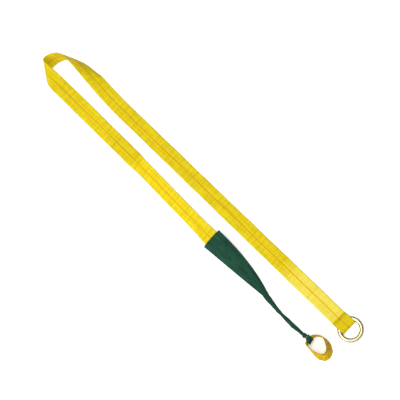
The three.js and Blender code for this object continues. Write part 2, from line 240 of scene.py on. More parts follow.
# ---- materials ----
class Nodes:
    """Short ways to write a material's nodes."""

    def __init__(self, name):
        self.material = bpy.data.materials.new(name)
        self.material.use_nodes = True
        self.tree = self.material.node_tree
        self.shader = self.tree.nodes["Principled BSDF"]

    def put(self, socket, value):
        if isinstance(value, bpy.types.NodeSocket):
            self.tree.links.new(value, socket)
        elif isinstance(value, tuple) and len(value) == 3 and socket.type == "RGBA":
            socket.default_value = (*value, 1)
        else:
            socket.default_value = value

    def new(self, kind, **inputs):
        node = self.tree.nodes.new(kind)
        for key, value in inputs.items():
            self.put(node.inputs[key], value)
        return node

    def math(self, operation, *values):
        node = self.tree.nodes.new("ShaderNodeMath")
        node.operation = operation
        for socket, value in zip(node.inputs, values):
            self.put(socket, value)
        return node.outputs[0]

    def smooth(self, value, start, end, low=0.0, high=1.0):
        """low before start and high after end, smooth between, start below end."""
        node = self.tree.nodes.new("ShaderNodeMapRange")
        node.interpolation_type = "SMOOTHSTEP"
        for socket, number in zip(node.inputs[:5], (value, start, end, low, high)):
            self.put(socket, number)
        return node.outputs[0]

    def blend(self, factor, a, b, how="MIX"):
        node = self.tree.nodes.new("ShaderNodeMix")
        node.data_type = "RGBA"
        node.blend_type = how
        self.put(node.inputs[0], factor)
        self.put(node.inputs[6], a)
        self.put(node.inputs[7], b)
        return node.outputs[2]

    def within(self, value, start, end, lead_in, lead_out):
        """1 between start and end, with soft ends that are (before, after) start and end."""
        begun = self.smooth(value, start + lead_in[0], start + lead_in[1])
        ended = self.smooth(value, end + lead_out[0], end + lead_out[1], 1.0, 0.0)
        return self.math("MULTIPLY", begun, ended)

    def cloth_noise(self, across, along, scales, detail, seed=0.0):
        """Noise stretched along and across the cloth, by its scale for each millimetre of both."""
        wide = self.math("MULTIPLY", across, scales[0])
        long = self.math("MULTIPLY", along, scales[1])
        return self.noise(self.vector(wide, long, seed), 1.0, detail)

    def weave(self):
        """Across and along the cloth, in millimetres, from the piece's own map."""
        uv = self.tree.nodes.new("ShaderNodeUVMap")
        uv.uv_map = "weave"
        parts = self.tree.nodes.new("ShaderNodeSeparateXYZ")
        self.tree.links.new(uv.outputs[0], parts.inputs[0])
        return parts.outputs[0], parts.outputs[1]

    def vector(self, x, y, z=0.0):
        node = self.tree.nodes.new("ShaderNodeCombineXYZ")
        for socket, value in zip(node.inputs, (x, y, z)):
            self.put(socket, value)
        return node.outputs[0]

    def noise(self, place_, scale, detail=3.0, roughness=0.55):
        node = self.new("ShaderNodeTexNoise", Scale=scale, Detail=detail, Roughness=roughness)
        if place_ is not None:
            self.put(node.inputs["Vector"], place_)
        return node.outputs[0]

    def relief(self, height, distance, strength=1.0):
        node = self.new("ShaderNodeBump", Height=height, Distance=distance, Strength=strength)
        self.put(self.shader.inputs["Normal"], node.outputs[0])


def linear(*colour):
    """A screen's red, green and blue, 0 to 255, as the shader's own numbers."""
    return tuple(((c / 255 + 0.055) / 1.055) ** 2.4 if c > 10 else c / 255 / 12.92 for c in colour)


def darker(colour, share):
    return tuple(share * c for c in colour)


YARN_PITCH = 2.4  # lengthwise yarn columns of the webbing


def webbing_material(name, base, shadow, tracer, pale_zone=None, eye_zone=None, gloss=0.12):
    """Ribbed polyester webbing with a coloured tracer yarn along its middle."""
    n = Nodes(name)
    across, along = n.weave()
    half_turn = n.math("SINE", n.math("MULTIPLY", across, math.pi / YARN_PITCH))
    # Neighbouring columns float a quarter rib apart, which gives the brick look of a ribbed weave.
    odd = n.math("MULTIPLY", n.math("SIGN", half_turn), RIB_PITCH / 8)
    row = n.math("MULTIPLY", n.math("ADD", along, odd), 2 * math.pi / RIB_PITCH)
    rib = n.math("MULTIPLY_ADD", n.math("COSINE", row), 0.5, 0.5)
    yarn = n.math("POWER", n.math("ABSOLUTE", half_turn), 0.5)
    height = n.math("MULTIPLY_ADD", rib, 0.62, n.math("MULTIPLY", yarn, 0.38))
    fibre = n.cloth_noise(across, along, (4.0, 0.9), 4.0)
    height = n.math("MULTIPLY_ADD", fibre, 0.22, height)

    streak = n.cloth_noise(across, along, (0.16, 0.012), 4.0)
    band = n.cloth_noise(across, along, (0.01, 0.11), 3.0, 7.0)
    tone = n.math("ADD", n.smooth(streak, 0.3, 0.7, -0.5, 0.5), n.smooth(band, 0.32, 0.68, -0.5, 0.5))
    tone = n.smooth(tone, -0.8, 0.8)
    colour = n.blend(tone, shadow, base)
    if pale_zone:
        start, end, pale = pale_zone
        inside = n.within(along, start, end, (-20, 60), (-6, 0))
        colour = n.blend(inside, colour, n.blend(tone, darker(pale, 0.88), pale))
    if eye_zone:
        start, end, deep = eye_zone
        colour = n.blend(n.within(along, start, end, (0, 4), (-4, 0)), colour, deep)
    # Painted shade: the colour is darkened where the weave is low, between the ribs and the yarn
    # columns.
    colour = n.blend(n.smooth(height, 0.25, 0.9, 0.34, 0.0), colour, (0.25, 0.17, 0.0), "MULTIPLY")
    side = n.math("ABSOLUTE", across)
    broken = n.cloth_noise(across, along, (0.5, 0.35), 2.0, 3.0)
    line = n.math("MULTIPLY", n.smooth(side, 0.9, 1.5, 1.0, 0.0), n.smooth(broken, 0.3, 0.5, 0.62, 0.95))
    colour = n.blend(line, colour, tracer)
    # Painted shade: a dark olive line along both edges of the webbing.
    painted_edge_shade = n.smooth(side, 23.4, 25.0, 0.0, 0.42)
    colour = n.blend(painted_edge_shade, colour, (0.16, 0.12, 0.01))
    n.put(n.shader.inputs["Base Color"], colour)
    n.put(n.shader.inputs["Roughness"], n.smooth(fibre, 0.2, 0.8, 0.52, 0.72))
    n.shader.inputs["Sheen Weight"].default_value = 0.03
    n.shader.inputs["Sheen Roughness"].default_value = 0.4
    n.shader.inputs["Specular IOR Level"].default_value = gloss
    n.relief(height, 0.0004, 0.75)
    return n.material


def cloth_material(name, base, shadow, pitch=1.1):
    """Plain-woven green polyester cloth, a little faded in flecks, with painted shade in the low places
    of the weave.
    """
    n = Nodes(name)
    across, along = n.weave()
    warp = n.math("SINE", n.math("MULTIPLY", across, math.pi / pitch))
    weft = n.math("SINE", n.math("MULTIPLY", along, math.pi / pitch))
    over = n.math("MULTIPLY", warp, weft)
    warp_high, weft_high = n.math("MULTIPLY", warp, warp), n.math("MULTIPLY", weft, weft)
    threads = n.math("ABSOLUTE", n.math("SUBTRACT", warp_high, weft_high))
    height = n.math("MULTIPLY_ADD", over, 0.35, n.math("MULTIPLY_ADD", threads, 0.4, 0.3))
    cloud = n.cloth_noise(across, along, (0.06, 0.025), 4.0)
    fleck = n.cloth_noise(across, along, (1.3, 1.3), 3.0, 5.0)
    faded = tuple(min(1, 1.9 * c + 0.012) for c in base)
    colour = n.blend(n.smooth(cloud, 0.32, 0.68), shadow, base)
    colour = n.blend(n.smooth(fleck, 0.55, 0.8, 0.0, 0.3), colour, faded)
    # Painted shade: the colour is darkened in the low places of the weave.
    colour = n.blend(n.smooth(height, 0.1, 0.6, 0.45, 0.0), colour, (0.1, 0.1, 0.1), "MULTIPLY")
    n.put(n.shader.inputs["Base Color"], colour)
    n.put(n.shader.inputs["Roughness"], n.smooth(fleck, 0.2, 0.8, 0.62, 0.84))
    n.shader.inputs["Sheen Weight"].default_value = 0.05
    n.shader.inputs["Sheen Roughness"].default_value = 0.45
    n.shader.inputs["Specular IOR Level"].default_value = 0.08
    n.relief(height, 0.00025, 0.7)
    return n.material


def thread_material(name, base):
    """Twisted sewing thread, whose plies run round the stitch."""
    n = Nodes(name)
    across, along = n.weave()
    ply = n.math("SINE", n.math("MULTIPLY_ADD", along, 9.0, n.math("MULTIPLY", across, 2.0)))
    soil = n.noise(None, 90.0, 3.0)
    colour = n.blend(n.smooth(soil, 0.3, 0.7), darker(base, 0.72), base)
    n.put(n.shader.inputs["Base Color"], colour)
    n.put(n.shader.inputs["Roughness"], n.smooth(soil, 0.2, 0.8, 0.5, 0.75))
    n.shader.inputs["Sheen Weight"].default_value = 0.2
    n.relief(ply, 0.0001, 0.5)
    return n.material


def plated_material(name):
    """Pale yellow passivated zinc on steel, rubbed lighter and with faint scratches, and with painted
    dark reflections down the wire's sides.
    """
    n = Nodes(name)
    places = n.tree.nodes.new("ShaderNodeTexCoord").outputs["Object"]
    cloud = n.noise(places, 40.0, 4.0)
    rub = n.noise(places, 260.0, 5.0, 0.65)
    colour = n.blend(n.smooth(cloud, 0.35, 0.65), (0.80, 0.69, 0.40), (0.70, 0.53, 0.22))
    colour = n.blend(n.smooth(rub, 0.55, 0.75, 0.0, 0.5), colour, (0.82, 0.77, 0.62))
    # Painted dark reflection: the colour turns dark brown down the wire's outer and inner sides, and
    # stays lighter on top.
    around, _ = n.weave()
    painted_reflection_sides = n.math("ABSOLUTE", n.math("COSINE", n.math("MULTIPLY", around, 2 / RING_WIRE)))
    colour = n.blend(n.smooth(painted_reflection_sides, 0.58, 0.88, 0.0, 0.92), colour, (0.11, 0.075, 0.03))
    n.put(n.shader.inputs["Base Color"], colour)
    n.shader.inputs["Metallic"].default_value = 1.0
    n.put(n.shader.inputs["Roughness"], n.smooth(rub, 0.3, 0.75, 0.12, 0.3))
    n.relief(rub, 0.0002, 0.25)
    return n.material


YELLOW = linear(224, 203, 18)
YELLOW_LOW = linear(206, 181, 5)
TRACER = linear(196, 128, 0)
PALE_YELLOW = linear(239, 221, 74)
EYE_YELLOW = linear(212, 189, 8)
# Painted shade: the hand loop's yellows are darker copies of the strap's yellow, standing in for the
# shade on its faces.
HAND_YELLOW_PAINTED_SHADE = linear(214, 182, 4)
HAND_YELLOW_LOW_PAINTED_SHADE = linear(184, 148, 0)
GREEN = linear(32, 78, 58)
GREEN_LOW = linear(23, 62, 46)
CREAM = linear(240, 226, 150)


# ---- the strap's line: tab, short leg, bend, long leg, upper ply, eye, tail ----
def short_leg_x(y):
    d = np.maximum(0, SPLAY_START_Y - y)
    drift = np.where(d < SPLAY_EASE, d * d / (2 * SPLAY_EASE), d - SPLAY_EASE / 2)
    return -LEG_SPACING - LEG_SPLAY * drift


def sleeve_middle(y):
    """Middle, width, height and roll of the flattened sleeve at y."""
    t = np.clip((MOUTH_Y - y) / SLEEVE_LENGTH, 0, 1)
    width = mix(SLEEVE_MOUTH_WIDTH, NECK_WIDTH, t**2.3) - 6 * np.sin(math.pi * t)
    height = mix(SLEEVE_MOUTH_HEIGHT, LEADER_HEIGHT, ease(0, 1, t))
    roll = np.radians(MOUTH_ROLL * (1 - ease(0, 0.85, t)))
    lift = (width / 2 - height / 4) * np.sin(roll) + (height / 2) * np.cos(roll)
    fold_side = mix(-SLEEVE_MOUTH_WIDTH / 2, -NECK_WIDTH / 2, t)
    return np.stack([short_leg_x(y) + fold_side + width / 2, y, lift], -1), width, height, roll


def short_leg():
    y = np.arange(MOUTH_Y - TAB_LENGTH, SHORT_LEG_START_Y - STATION / 2, STATION)
    inside = ease(MOUTH_Y + 75, MOUTH_Y + 4, y)
    middle, _, _, sleeve_roll = sleeve_middle(y)
    # Inside the sleeve the tab lies towards the folded side, clear of the seam.
    middle[:, 0] -= 2.8 * ease(MOUTH_Y - 5, MOUTH_Y - TAB_LENGTH, y)
    rolled_in = ease(SHORT_LEG_START_Y - 8, SHORT_LEG_START_Y - 80, y)
    free = np.radians(mix(START_ROLL, LEG_ROLL, rolled_in))
    roll = mix(free, sleeve_roll, inside)
    lift = WEB_WIDTH / 2 * np.sin(roll) + LOWER_Z * np.cos(roll)
    leg = np.stack([short_leg_x(y), y, lift], -1)
    across = np.stack([np.cos(roll), 0 * roll, np.sin(roll)], -1)
    return mix(leg, middle, inside[:, None]), across


# Curvature and twist of the folded end, each [size per mm, place from the middle, spread].
BEND_MIDDLE = 368.4
BEND_CURVATURE = [(0.023735, 36.4, 94.8), (-0.006461, -260, 31), (-0.005786, 260, 25)]
BEND_TWIST = [(0.03002, -18, 43.3), (-0.013153, 101.2, 127.2), (-0.002761, -181.3, 25)]
NEARLY_STRAIGHT = 0.0035  # curvature under which the slant of the strap's straight lines dies away
FLOOR_CLEARANCE = 0.05


def bend():
    """The folded end, bent and twisted without stretching, so its straight lines lie at a slant."""
    count = round(BEND_LENGTH / STATION)
    ds = BEND_LENGTH / count
    roll = math.radians(START_ROLL)
    start_z = WEB_WIDTH / 2 * math.sin(roll) + LOWER_Z * math.cos(roll)
    p = Vector((float(short_leg_x(SHORT_LEG_START_Y)), SHORT_LEG_START_Y, start_z))
    tangent, normal = Vector((0, 1, 0)), Vector((-math.sin(roll), 0, math.cos(roll)))
    line, across, upright = [], [], []
    for i in range(count + 1):
        side = tangent.cross(normal)
        s = (i + 0.5) * ds - BEND_MIDDLE
        curve, twist = (
            sum(size * math.exp(-(((s - at) / spread) ** 2)) for size, at, spread in terms)
            for terms in (BEND_CURVATURE, BEND_TWIST)
        )
        slant = twist * max(0, curve) / (curve**2 + NEARLY_STRAIGHT**2)
        line.append(np.array(p))
        across.append(np.array(side + tangent * slant))
        upright.append(normal.z)
        turn = -side * curve - tangent * twist
        angle = turn.length * ds
        p += (Quaternion(turn, angle / 2) @ tangent) * ds
        whole = Quaternion(turn, angle)
        tangent, normal = whole @ tangent, whole @ normal
    line, across = np.array(line), np.array(across)
    share = np.linspace(0, 1, count + 1)[:, None]
    line += (np.array([0, line[-1, 1], LOWER_Z]) - line[-1]) * share
    straightened = ease(0.8, 1, share)
    line[:, :1] *= 1 - straightened
    across = mix(across, np.array([[-1.0, 0, 0]]), straightened)
    edge = line[:, 2] - WEB_WIDTH / 2 * np.abs(across[:, 2]) - LOWER_Z * np.abs(upright)
    line[:, 2] += np.maximum(0, FLOOR_CLEARANCE - edge)
    return line, across


# The eye's line through y and z: over the ring's wire, under at the fold and back flat.
EYE_LINE = [
    (44.8, UPPER_Z), (42, 4.5), (39.2, 7.2), (37.4, 11.4), (34, 15.9), (28, 17.5), (19, 17.5),
    (11.5, 16.0), (5.4, 12.4), (2.2, 7.6), (1.4, 4.0), (2.8, 1.85), (7, LOWER_Z), (20, LOWER_Z),
    (44.8, LOWER_Z),
]


def strap_line():
    """The whole strap: places, width directions, length run, and the places of the two cuts."""
    leg, leg_across = short_leg()
    turn, turn_across = bend()
    side = np.array([math.copysign(1, turn_across[-1, 0]), 0, 0])
    y = np.arange(turn[-1, 1] - STATION, EYE_LINE[0][0] + STATION / 2, -STATION)
    flat = np.stack([0 * y, y, mix(UPPER_Z, LOWER_Z, ease(RAMP_HIGH_Y, RAMP_LOW_Y, y))], -1)
    eye = through([(0, y, z) for y, z in EYE_LINE], 10)
    y = np.arange(EYE_LINE[-1][0] + STATION, TAIL_END_Y + 0.1, STATION)
    tail = np.stack([0 * y, y, 0 * y + LOWER_Z], -1)
    line = np.vstack([leg, turn, flat, eye, tail])
    rest = len(flat) + len(eye) + len(tail)
    across = np.vstack([leg_across, turn_across, np.tile(side, (rest, 1))])
    bend_cut = len(leg) + round(CUT_IN_BEND / STATION)
    first_flat = len(leg) + len(turn)
    splice_cut = first_flat + int(np.argmin(np.abs(flat[:, 1] - CUT_IN_SPLICE_Y)))
    return line, across, run_of(line), bend_cut, splice_cut, first_flat


STRAP, STRAP_ACROSS, STRAP_RUN, BEND_CUT, SPLICE_CUT, FIRST_FLAT = strap_line()


def run_at_y(y):
    """The length run where the ring's leg or upper ply passes y."""
    flat = slice(FIRST_FLAT, FIRST_FLAT + int((STRAP[FIRST_FLAT, 1] - EYE_LINE[0][0]) / STATION))
    return float(STRAP_RUN[flat][np.argmin(np.abs(STRAP[flat, 1] - y))])


# ---- webbing meshes ----
def web_section(half_width, half_thick):
    """Across and up for each point round a webbing's section, with rounded selvedges."""
    flat = np.linspace(half_width - 0.9, 0.9 - half_width, 17)
    thin = 1 - 0.16 * ease(half_width - 3.5, half_width - 0.9, np.abs(flat))
    channel = 0.12 * bump(flat / 0.9)
    top = [(u, half_thick * k - c) for u, k, c in zip(flat, thin, channel)]
    shoulder = half_width - 0.25
    nose = [(shoulder, 0.5 * half_thick), (half_width, 0), (shoulder, -0.5 * half_thick)]
    left = [(-u, v) for u, v in nose]
    return np.array(top + left + [(u, -v) for u, v in top[::-1]] + nose[::-1])


def webbing(name, first, last, material, start_nose=False, end_nose=False):
    """The strap from one of its stations to another. A cut end that shows is crimped and rounded."""
    span = slice(first, last + 1)
    line, across, run = STRAP[span], STRAP_ACROSS[span], STRAP_RUN[span]
    tangent = unit(np.gradient(STRAP, axis=0)[span])
    normal = unit(np.cross(across, tangent))
    section = web_section(WEB_WIDTH / 2, WEB_THICK / 2)
    up = np.tile(section[:, 1], (len(line), 1))
    rib = RIB_HEIGHT * np.cos(2 * math.pi * run / RIB_PITCH)[:, None] - 0.1
    inner = np.abs(section[:, 0]) < WEB_WIDTH / 2 - 1
    up = up + np.where(inner, np.sign(up) * rib, 0)
    ends = np.ones(len(line))
    if start_nose:
        ends = np.minimum(ends, np.sqrt(np.clip((run - run[0] + 0.3) / 2, 0.1, 1)))
    if end_nose:
        ends = np.minimum(ends, np.sqrt(np.clip((run[-1] - run + 0.3) / 2, 0.1, 1)))
    up = up * ends[:, None]
    # The selvedges wander a little, as woven edges do.
    wander = 0.18 * np.sin(run / 23) + 0.12 * np.sin(run / 9.1 + 1)
    side = section[None, :, 0] + (np.abs(section[:, 0]) > 20) * wander[:, None]
    rings = line[:, None] + across[:, None] * side[..., None] + normal[:, None] * up[..., None]
    u = np.append(section[:, 0], section[0, 0])
    uv = np.stack([np.tile(u, (len(line), 1)), np.tile(run[:, None], (1, len(u)))], -1)
    return loft(name, rings, material, uv)


# ---- stitches ----
def stitches(name, pairs, material, radius=0.42, rise=0.55):
    """Short arched lengths of thread, each given by its start, its end and the way out of the cloth."""
    around, steps = 6, 5
    turn = np.arange(around) * 2 * math.pi / around
    points, faces, corners = [], [], []
    for start, end, out in pairs:
        start, end, out = (np.asarray(v, float) for v in (start, end, out))
        along = unit(end - start)
        side = np.cross(along, out)
        base = len(points)
        length = np.linalg.norm(end - start)
        for i in range(steps + 1):
            t = i / steps
            middle = mix(start, end, t) + out * (rise * math.sin(math.pi * t) - 0.15)
            r = radius * (0.45 + 0.55 * math.sin(math.pi * min(max(t, 0.08), 0.92)))
            points += [middle + side * (r * math.cos(a)) + out * (r * math.sin(a)) for a in turn]
        for i in range(steps):
            for j in range(around):
                k = (j + 1) % around
                a, b = base + i * around, base + (i + 1) * around
                faces.append([a + j, a + k, b + k, b + j])
                v0, v1 = length * i / steps, length * (i + 1) / steps
                corners += [(j, v0), (j + 1, v0), (j + 1, v1), (j, v1)]
        faces.append([base + j for j in range(around)][::-1])
        faces.append([base + steps * around + j for j in range(around)])
        corners += [(0, 0)] * (2 * around)
    return piece(name, points, faces, material, corners)


def between(holes, outs, fill):
    """Threads that fill so much of the way from each needle hole to the next."""
    low, high = (1 - fill) / 2, (1 + fill) / 2
    return [(mix(a, b, low), mix(a, b, high), out) for a, b, out in zip(holes, holes[1:], outs)]


def straight_row(start, end, pitch, swing):
    """Threads from start to end on the splice's upper face, stepping sideways by swing at each hole."""
    z = UPPER_Z + WEB_THICK / 2
    start, end = np.array([*start, z], float), np.array([*end, z], float)
    count = round(np.linalg.norm(end - start) / pitch)
    side = np.cross((0, 0, 1), unit(end - start))
    holes = [mix(start, end, i / count) + side * (swing * (-1) ** i) for i in range(count + 1)]
    return between(holes, [(0, 0, 1)] * count, 0.72)


# ---- the leader, which is the strop's one cord ----
def leader_x(y):
    t = (NECK_Y - y) / (NECK_Y - KNOT_Y)
    bow = 7 * np.sin(math.pi * np.clip(t, 0, 1) ** 0.8)
    return mix(short_leg_x(y), KNOT_X, t**3) - bow


def leader_z(y):
    return mix(LEADER_HEIGHT / 2, KNOT_Z, ease(COLLAR_Y + 40, COLLAR_Y, y))


LEADER_FROM_Y = 246
LEADER_TO_Y = 71


def make_leader(material):
    """The sleeve's cloth rolled and twisted into a rope, whose lips are grooves that wind round it."""
    y = np.linspace(LEADER_FROM_Y, LEADER_TO_Y, 150)
    line = np.stack([leader_x(y), y, leader_z(y)], -1)
    run = run_of(line)
    along = unit(np.gradient(line, axis=0))
    side = unit(np.cross(along, (0, 0, 1)))
    up = np.cross(side, along)
    around = 56
    turn = np.arange(around) * 2 * math.pi / around
    twist = 0.9 + run / 27
    # Spread at the neck, pinched about half-way down with a fuller stretch before it, thinner last.
    girth = 1 + 0.10 * np.sin(run / 17 + 0.6) - 0.14 * bump((run - 78) / 9) + 0.10 * bump((run - 66) / 9)
    girth = girth * mix(1.38, 1, ease(0, 62, run)) * mix(1, 0.86, ease(120, 160, run))
    radius = np.ones((len(y), around))
    for depth, at, spread in ((0.30, 0, 0.30), (0.17, 2.3, 0.36), (0.13, 4.1, 0.26)):
        off = (turn[None] - twist[:, None] - at + math.pi) % (2 * math.pi) - math.pi
        radius -= depth * bump(off / spread)
        radius += 0.35 * depth * bump((off - 2 * spread) / spread)
    radius += 0.025 * np.sin(5 * turn[None] + run[:, None] / 6.0) + 0.02 * np.sin(run[:, None] / 3.1)
    wide = LEADER_WIDTH / 2 * girth[:, None] * radius * np.cos(turn)
    tall = LEADER_HEIGHT / 2 * np.minimum(girth, 1)[:, None] * radius * np.sin(turn)
    tall = np.maximum(tall, -LEADER_HEIGHT / 2)
    rings = line[:, None] + side[:, None] * wide[..., None] + up[:, None] * tall[..., None]
    u = np.append(turn, 2 * math.pi) * 5.5
    uv = np.stack([u[None] + 0 * run[:, None], run[:, None] + 0 * u[None]], -1)
    leader = loft("leader_cord", rings, material, uv)
    return leader, line


# ---- sleeve ----
SEAM_IN = 8.5  # from the sewn edge to the seam, at the mouth
SEAM_IN_NECK = 2.0


def seam_inset(t):
    """From the sewn edge to the seam, at a share of the way from the mouth to the neck."""
    return mix(SEAM_IN, SEAM_IN_NECK, ease(0.1, 0.75, t))


def sleeve_ring(y, t, across):
    """The sleeve's middle and directions at y, and its half height at places across it, -1 to 1."""
    middle, width, height, roll = sleeve_middle(y)
    side = np.array([math.cos(roll), 0, math.sin(roll)])
    up = np.array([-math.sin(roll), 0, math.cos(roll)])
    half = width / 2
    u = across * half
    seam_at = half - seam_inset(t)
    full = height / 2
    # A lens over the tab, a pinch along the seam, and a flat flange outside it.
    lens = full * np.clip(1 - np.abs(across) ** 2.8, 0, 1) ** 0.6
    pinch = mix(1.7, 3.4, ease(0.2, 0.9, t))
    near_seam = ease(seam_at - 7, seam_at, u) * (1 - ease(0.55, 0.95, t))
    lens = mix(lens, np.minimum(lens, pinch), near_seam)
    edge = np.sqrt(np.clip(1 - np.abs(across) ** 14, 0, 1))
    lens = np.maximum(lens, 1.6 * edge) * np.clip(edge * 1.5, 0, 1)
    return middle, side, up, u, lens, half


def sleeve_point_rows(rows, inset, count):
    """Rings of the sleeve for (y, hem) rows, count points round, with folds that run into the neck."""
    turn = np.arange(count) * 2 * math.pi / count
    across = np.sign(np.cos(turn)) * np.abs(np.cos(turn)) ** 0.8
    upper = np.sin(turn) >= 0
    rings = []
    for y, hem in rows:
        t = (MOUTH_Y - y) / SLEEVE_LENGTH
        middle, side, up, u, lens, half = sleeve_ring(y, t, across)
        pull = ease(0.35, 0.95, t)
        folds = pull * (0.9 * np.sin(7.5 * across + 3.2 * t + 0.6) + 0.5 * np.sin(14 * across - 5 * t))
        folds += 0.55 * np.sin(2.4 * across + 9 * t) * ease(0.0, 0.3, t) * (1 - pull)
        folds += 0.3 * np.sin(23 * t + 4 * across) * np.sin(3 * across + 1)
        inside = np.clip(1 - np.abs(across) ** 6, 0, 1)
        lower = -np.minimum(lens, lens * 0.93 + 0.1) - hem * 0.5
        z = np.where(upper, lens + folds * inside + hem, lower)
        z = np.where(upper, np.maximum(z - inset, 0.15), np.minimum(z + inset, -0.15))
        w = u * (1 - inset / half)
        points = middle + side[None] * w[:, None] + up[None] * z[:, None]
        points[:, 2] = np.maximum(points[:, 2], 0.15 + inset)
        rings.append(points)
    return np.array(rings), np.append(across, across[0]) * SLEEVE_MOUTH_WIDTH / 2


def make_sleeve(material):
    """Cloth folded along one side and sewn along the other, open at the mouth and rolled at the neck."""
    count = 96
    body, mouth = np.linspace(NECK_Y - 4, MOUTH_Y - 14, 120), np.linspace(MOUTH_Y - 13, MOUTH_Y, 14)
    ys = np.concatenate([body, mouth])
    # The mouth is turned in and sewn down: the hem stands a little proud and dips at its stitches.
    hem = 0.45 * ease(MOUTH_Y - 12, MOUTH_Y - 10.5, ys) - 0.4 * bump((ys - MOUTH_Y + 9) / 1.1)
    hem = hem - 0.35 * ease(MOUTH_Y - 1.2, MOUTH_Y, ys)
    outer, u = sleeve_point_rows(list(zip(ys, hem)), 0, count)
    inner_ys = np.linspace(MOUTH_Y, MOUTH_Y - 176, 60)
    inner, _ = sleeve_point_rows([(y, 0) for y in inner_ys], SLEEVE_CLOTH, count)
    rings = np.concatenate([outer, inner])
    v = np.concatenate([ys, 2 * MOUTH_Y - inner_ys])
    uv = np.stack([np.tile(u, (len(v), 1)), np.tile(v[:, None], (1, len(u)))], -1)
    return loft("sleeve_cloth", rings, material, uv)


def seam_hole(y):
    """A needle hole of the seam in the sleeve's upper layer, and the way out of the cloth."""
    t = (MOUTH_Y - y) / SLEEVE_LENGTH
    _, width, _, _ = sleeve_middle(y)
    across = np.array([1 - seam_inset(t) / (width / 2)])
    middle, side, up, u, lens, _ = sleeve_ring(y, t, across)
    return middle + side * u[0] + up * (lens[0] + 0.1), up


# ---- knot ----
def rope_through(name, line, wide, tall, material, outward, grooves=2):
    """A rolled-cloth rope along a line; outward gives the way that its flat side faces at each point."""
    run = run_of(line)
    along = unit(np.gradient(line, axis=0))
    up = unit(outward - along * np.sum(outward * along, axis=1)[:, None])
    side = np.cross(along, up)
    around = 28
    turn = np.arange(around) * 2 * math.pi / around
    radius = 1 - 0.13 * bump(((turn[None] - 1.2 - run[:, None] / 30) % (2 * math.pi) - math.pi) / 0.4)
    radius = radius - 0.08 * np.abs(np.sin(grooves * turn[None] + run[:, None] / 9))
    nose = np.sqrt(np.clip(np.minimum(run + 0.4, run[-1] - run + 0.4) / wide, 0.05, 1))
    w = wide * nose[:, None] * radius * np.cos(turn)
    h = tall * nose[:, None] * radius * np.sin(turn)
    rings = line[:, None] + side[:, None] * w[..., None] + up[:, None] * h[..., None]
    u = np.append(turn, 2 * math.pi) * wide
    uv = np.stack([u[None] + 0 * run[:, None], run[:, None] + 0 * u[None]], -1)
    return loft(name, rings, material, uv)


def make_knot(material):
    """The leader's end wound twice round the hand loop's gathered part, then crossed over and tucked."""
    centre = np.array([KNOT_X, KNOT_Y, KNOT_Z])
    t = np.linspace(0, 1, 120)
    angle = math.radians(70) + t * 2.3 * 2 * math.pi
    reach = 8.0 + 0.5 * np.sin(3 * angle)
    out = np.stack([0 * t, np.cos(angle), np.sin(angle)], -1)
    line = centre + out * reach[:, None]
    line[:, 0] += mix(-6.2, 6.2, ease(0, 1, t))
    wraps = rope_through("knot_wraps", line, 3.9, 2.0, material, out)
    t = np.linspace(0, 1, 60)
    angle = mix(math.radians(-35), math.radians(215), t)
    out = np.stack([0 * t, np.cos(angle), np.sin(angle)], -1)
    line = centre + out * 10.2
    line[:, 0] += mix(6.5, -6.5, ease(0.1, 0.9, t))
    cross = rope_through("knot_crossing", line, 4.2, 1.8, material, out)
    return wraps, cross


def make_collar(material):
    """The turn of cloth that grips the leader beside the knot."""
    t = np.linspace(0, 1, 80)
    y = mix(COLLAR_Y + 4.5, COLLAR_Y - 3.0, t)
    angle = math.radians(-60) + t * 1.6 * 2 * math.pi
    out = np.stack([np.cos(angle), 0 * t, np.sin(angle)], -1)
    line = np.stack([leader_x(y), y, leader_z(y)], -1) + out * 5.4
    return rope_through("knot_collar_turn", line, 3.8, 2.2, material, out)


# ---- hand loop ----
HAND_LOOP_LINE = [
    (0, 0), (10.5, -0.5), (22, -8), (31, -24), (30, -42), (20, -61), (1, -69), (-13, -60),
    (-18, -42), (-18.5, -22), (-16.5, -8), (-9.5, -0.5),
]
HAND_LOOP_MIDDLE = (5, -32)
HAND_LOOP_FOOT = 0.2  # clear of the floor
HAND_LOOP_BELLY = 1.1
LAP_START = 0.43
LAP_END = 0.60
LAP_OUT = WEB_THICK + PLY_GAP


def hand_loop_line():
    line = through([(KNOT_X + x, KNOT_Y + y, 0) for x, y in HAND_LOOP_LINE], 40, closed=True)
    run = run_of(np.vstack([line, line[:1]]))
    along = unit(np.roll(line, -1, axis=0) - np.roll(line, 1, axis=0))
    out = np.cross(along, (0, 0, 1))
    from_middle = line - (KNOT_X + HAND_LOOP_MIDDLE[0], KNOT_Y + HAND_LOOP_MIDDLE[1], 0)
    out *= np.sign(np.sum(out * from_middle, axis=1))[:, None]
    return line, run, out


